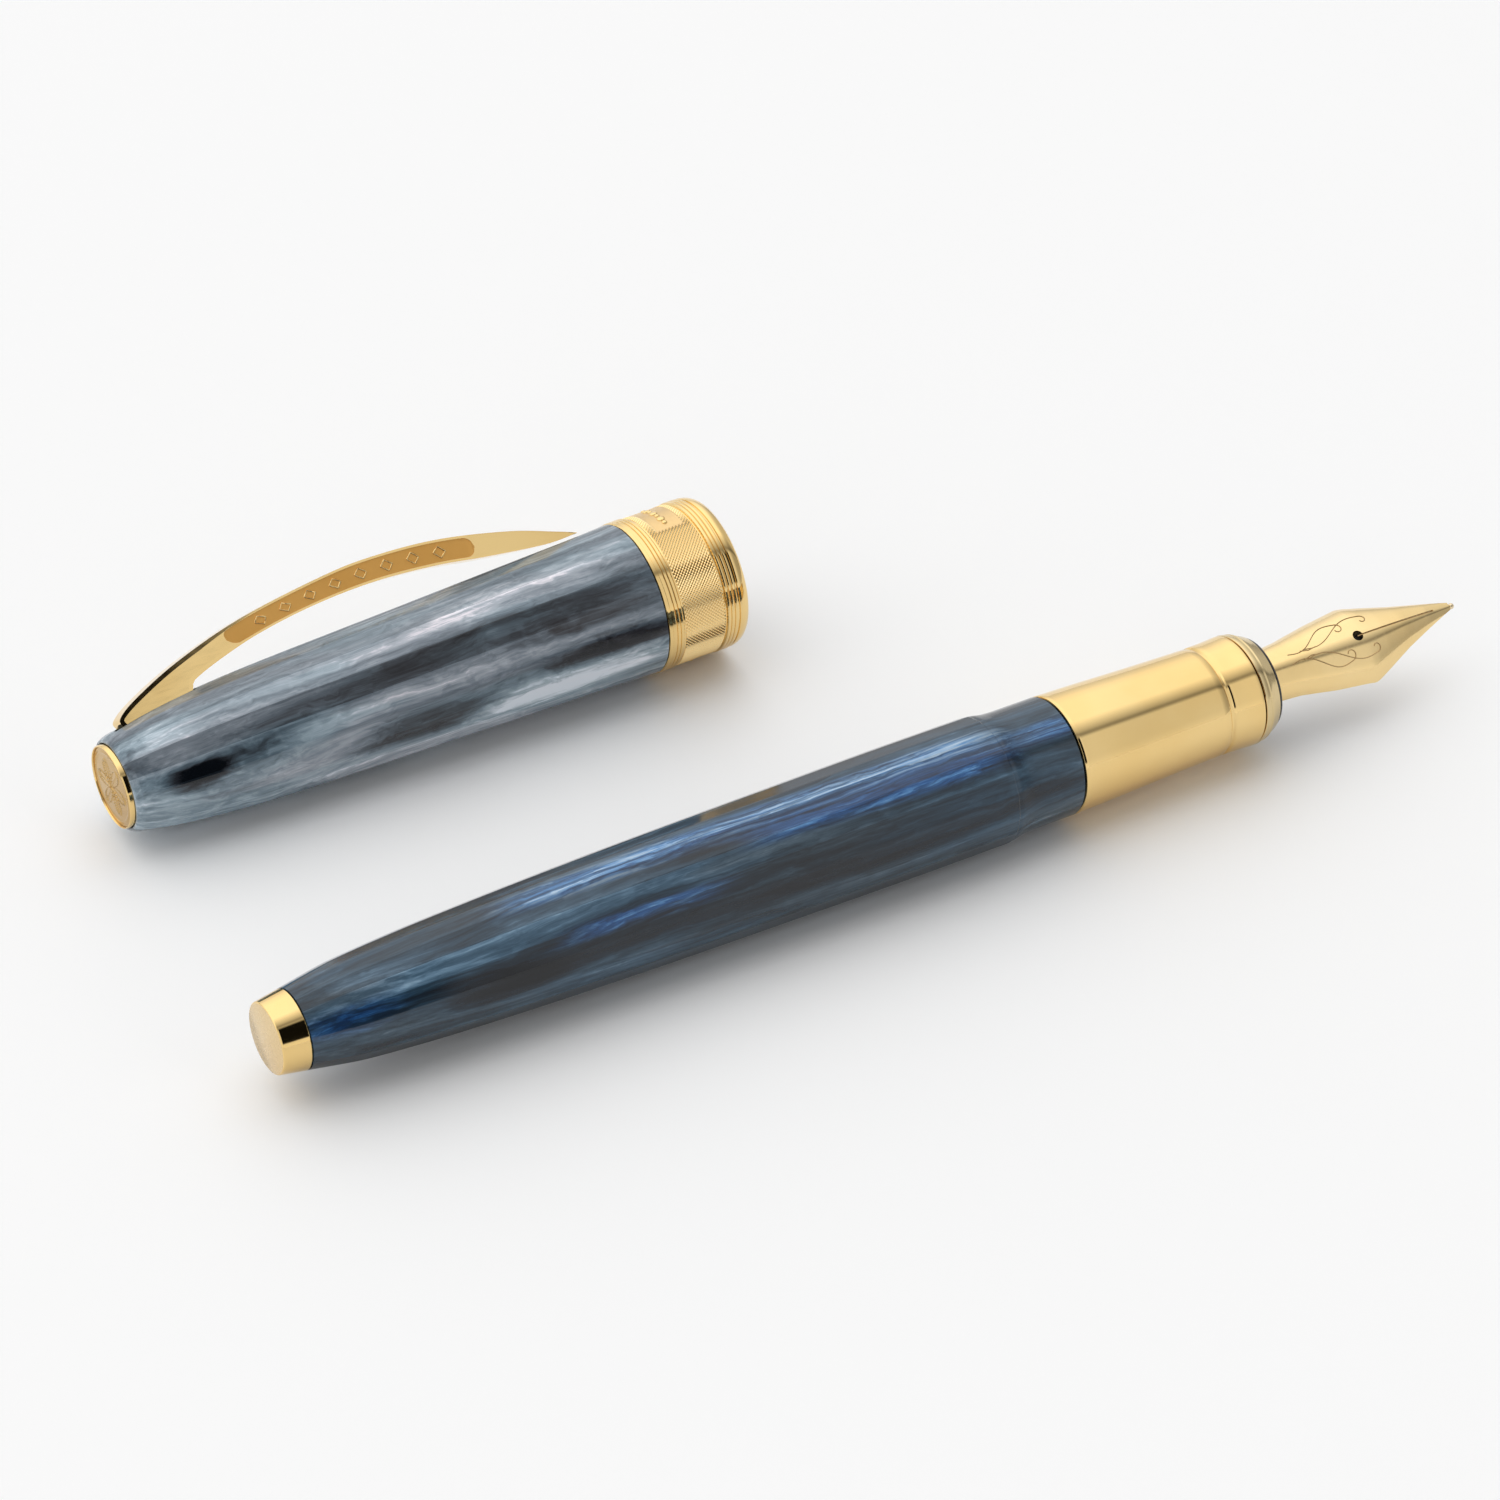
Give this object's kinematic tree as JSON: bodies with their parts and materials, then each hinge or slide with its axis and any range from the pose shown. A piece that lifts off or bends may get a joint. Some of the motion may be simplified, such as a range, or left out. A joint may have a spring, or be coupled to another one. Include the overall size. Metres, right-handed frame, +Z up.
{
  "type": "fountain pen",
  "caption": "Uncapped fountain pen with faceted marbled resin barrel, gold grip and nib, and its sprung-clip cap lying beside it.",
  "frame": {"origin": "centre of the footprint of the pen and its cap, on the surface they lie on", "axes": "+X along the pen towards the nib, +Y from the pen towards the cap, +Z up"},
  "size_m": [0.1306, 0.0558, 0.0173],
  "materials": {
    "barrel_resin": "polished marbled resin, slate and steel blue",
    "cap_resin": "polished marbled resin, silver grey and charcoal",
    "gold_trim": "polished",
    "pale_gold": "fine satin, pale gold plating",
    "satin_gold": "satin",
    "clip_gold": "polished with satin side panels",
    "nib_gold": "polished",
    "tipping": "polished",
    "steel": "satin",
    "magnet": "satin nickel",
    "black_plastic": "semi-gloss moulded",
    "feed_plastic": "fine matte",
    "clear_plastic": "clear moulded",
    "rubber": "matte"
  },
  "bodies": {
    "barrel": {"barrel_shell": "barrel_resin", "barrel_thread_sleeve": "steel", "tail_ferrule": "gold_trim", "tail_stud": "steel"},
    "section_joint": {"section_o_ring": "rubber"},
    "section": {"section_shell": "gold_trim", "section_thread": "steel", "section_liner": "black_plastic", "lip_ring": "pale_gold"},
    "nib_unit": {"nib": "nib_gold", "nib_tipping": "tipping", "feed": "feed_plastic", "nib_housing": "black_plastic"},
    "converter": {"converter_tube": "clear_plastic", "converter_socket": "black_plastic", "converter_sleeve": "gold_trim", "agitator_ball": "steel"},
    "converter_knob": {"converter_knob": "black_plastic"},
    "piston": {"piston_rod": "steel", "piston_head": "rubber"},
    "cap": {"cap_shell": "cap_resin", "cap_band": "gold_trim", "cap_liner": "steel", "cap_magnet_ring": "magnet", "inner_cap": "black_plastic", "finial_bezel": "gold_trim", "finial_magnet": "magnet", "clip_mount": "steel", "clip_pin": "steel", "clip_spring": "steel"},
    "clip": {"clip": "clip_gold"},
    "medallion": {"finial_medallion": "satin_gold"}
  },
  "joints": [
    {"name": "section_pull", "type": "slide", "parent": "barrel", "child": "section_joint", "axis": [1, 0, 0], "range_m": [0, 0.075]},
    {"name": "section_turn", "type": "hinge", "parent": "section_joint", "child": "section", "pos_m": [0.01935, -0.02149, 0.0063], "axis": [1, 0, 0], "range_deg": [0, 900]},
    {"name": "nib_pull", "type": "slide", "parent": "section", "child": "nib_unit", "axis": [1, 0, 0], "range_m": [0, 0.022]},
    {"name": "converter_pull", "type": "slide", "parent": "section", "child": "converter", "axis": [-1, 0, 0], "range_m": [0, 0.006]},
    {"name": "knob_turn", "type": "hinge", "parent": "converter", "child": "converter_knob", "pos_m": [-0.04225, -0.02149, 0.0063], "axis": [1, 0, 0], "range_deg": [0, 2880]},
    {"name": "piston_travel", "type": "slide", "parent": "converter", "child": "piston", "axis": [1, 0, 0], "range_m": [0, 0.024]},
    {"name": "cap_slide", "type": "slide", "parent": "barrel", "child": "cap", "axis": [1, 0, 0], "range_m": [0, 0.054]},
    {"name": "clip_hinge", "type": "hinge", "parent": "cap", "child": "clip", "pos_m": [-0.05489, 0.02004, 0.0075], "axis": [-0.0191, -0.766, 0.6425], "range_deg": [0, 5], "stiffness_Nm_per_rad": 4, "springref_deg": -1.72},
    {"name": "medallion_pull", "type": "slide", "parent": "cap", "child": "medallion", "axis": [-0.9996, 0, -0.0297], "range_m": [0, 0.004]}
  ],
  "couplings": [
    {"joint": "knob_turn", "follows": "piston_travel", "rad_per_m": 2094.4}
  ]
}
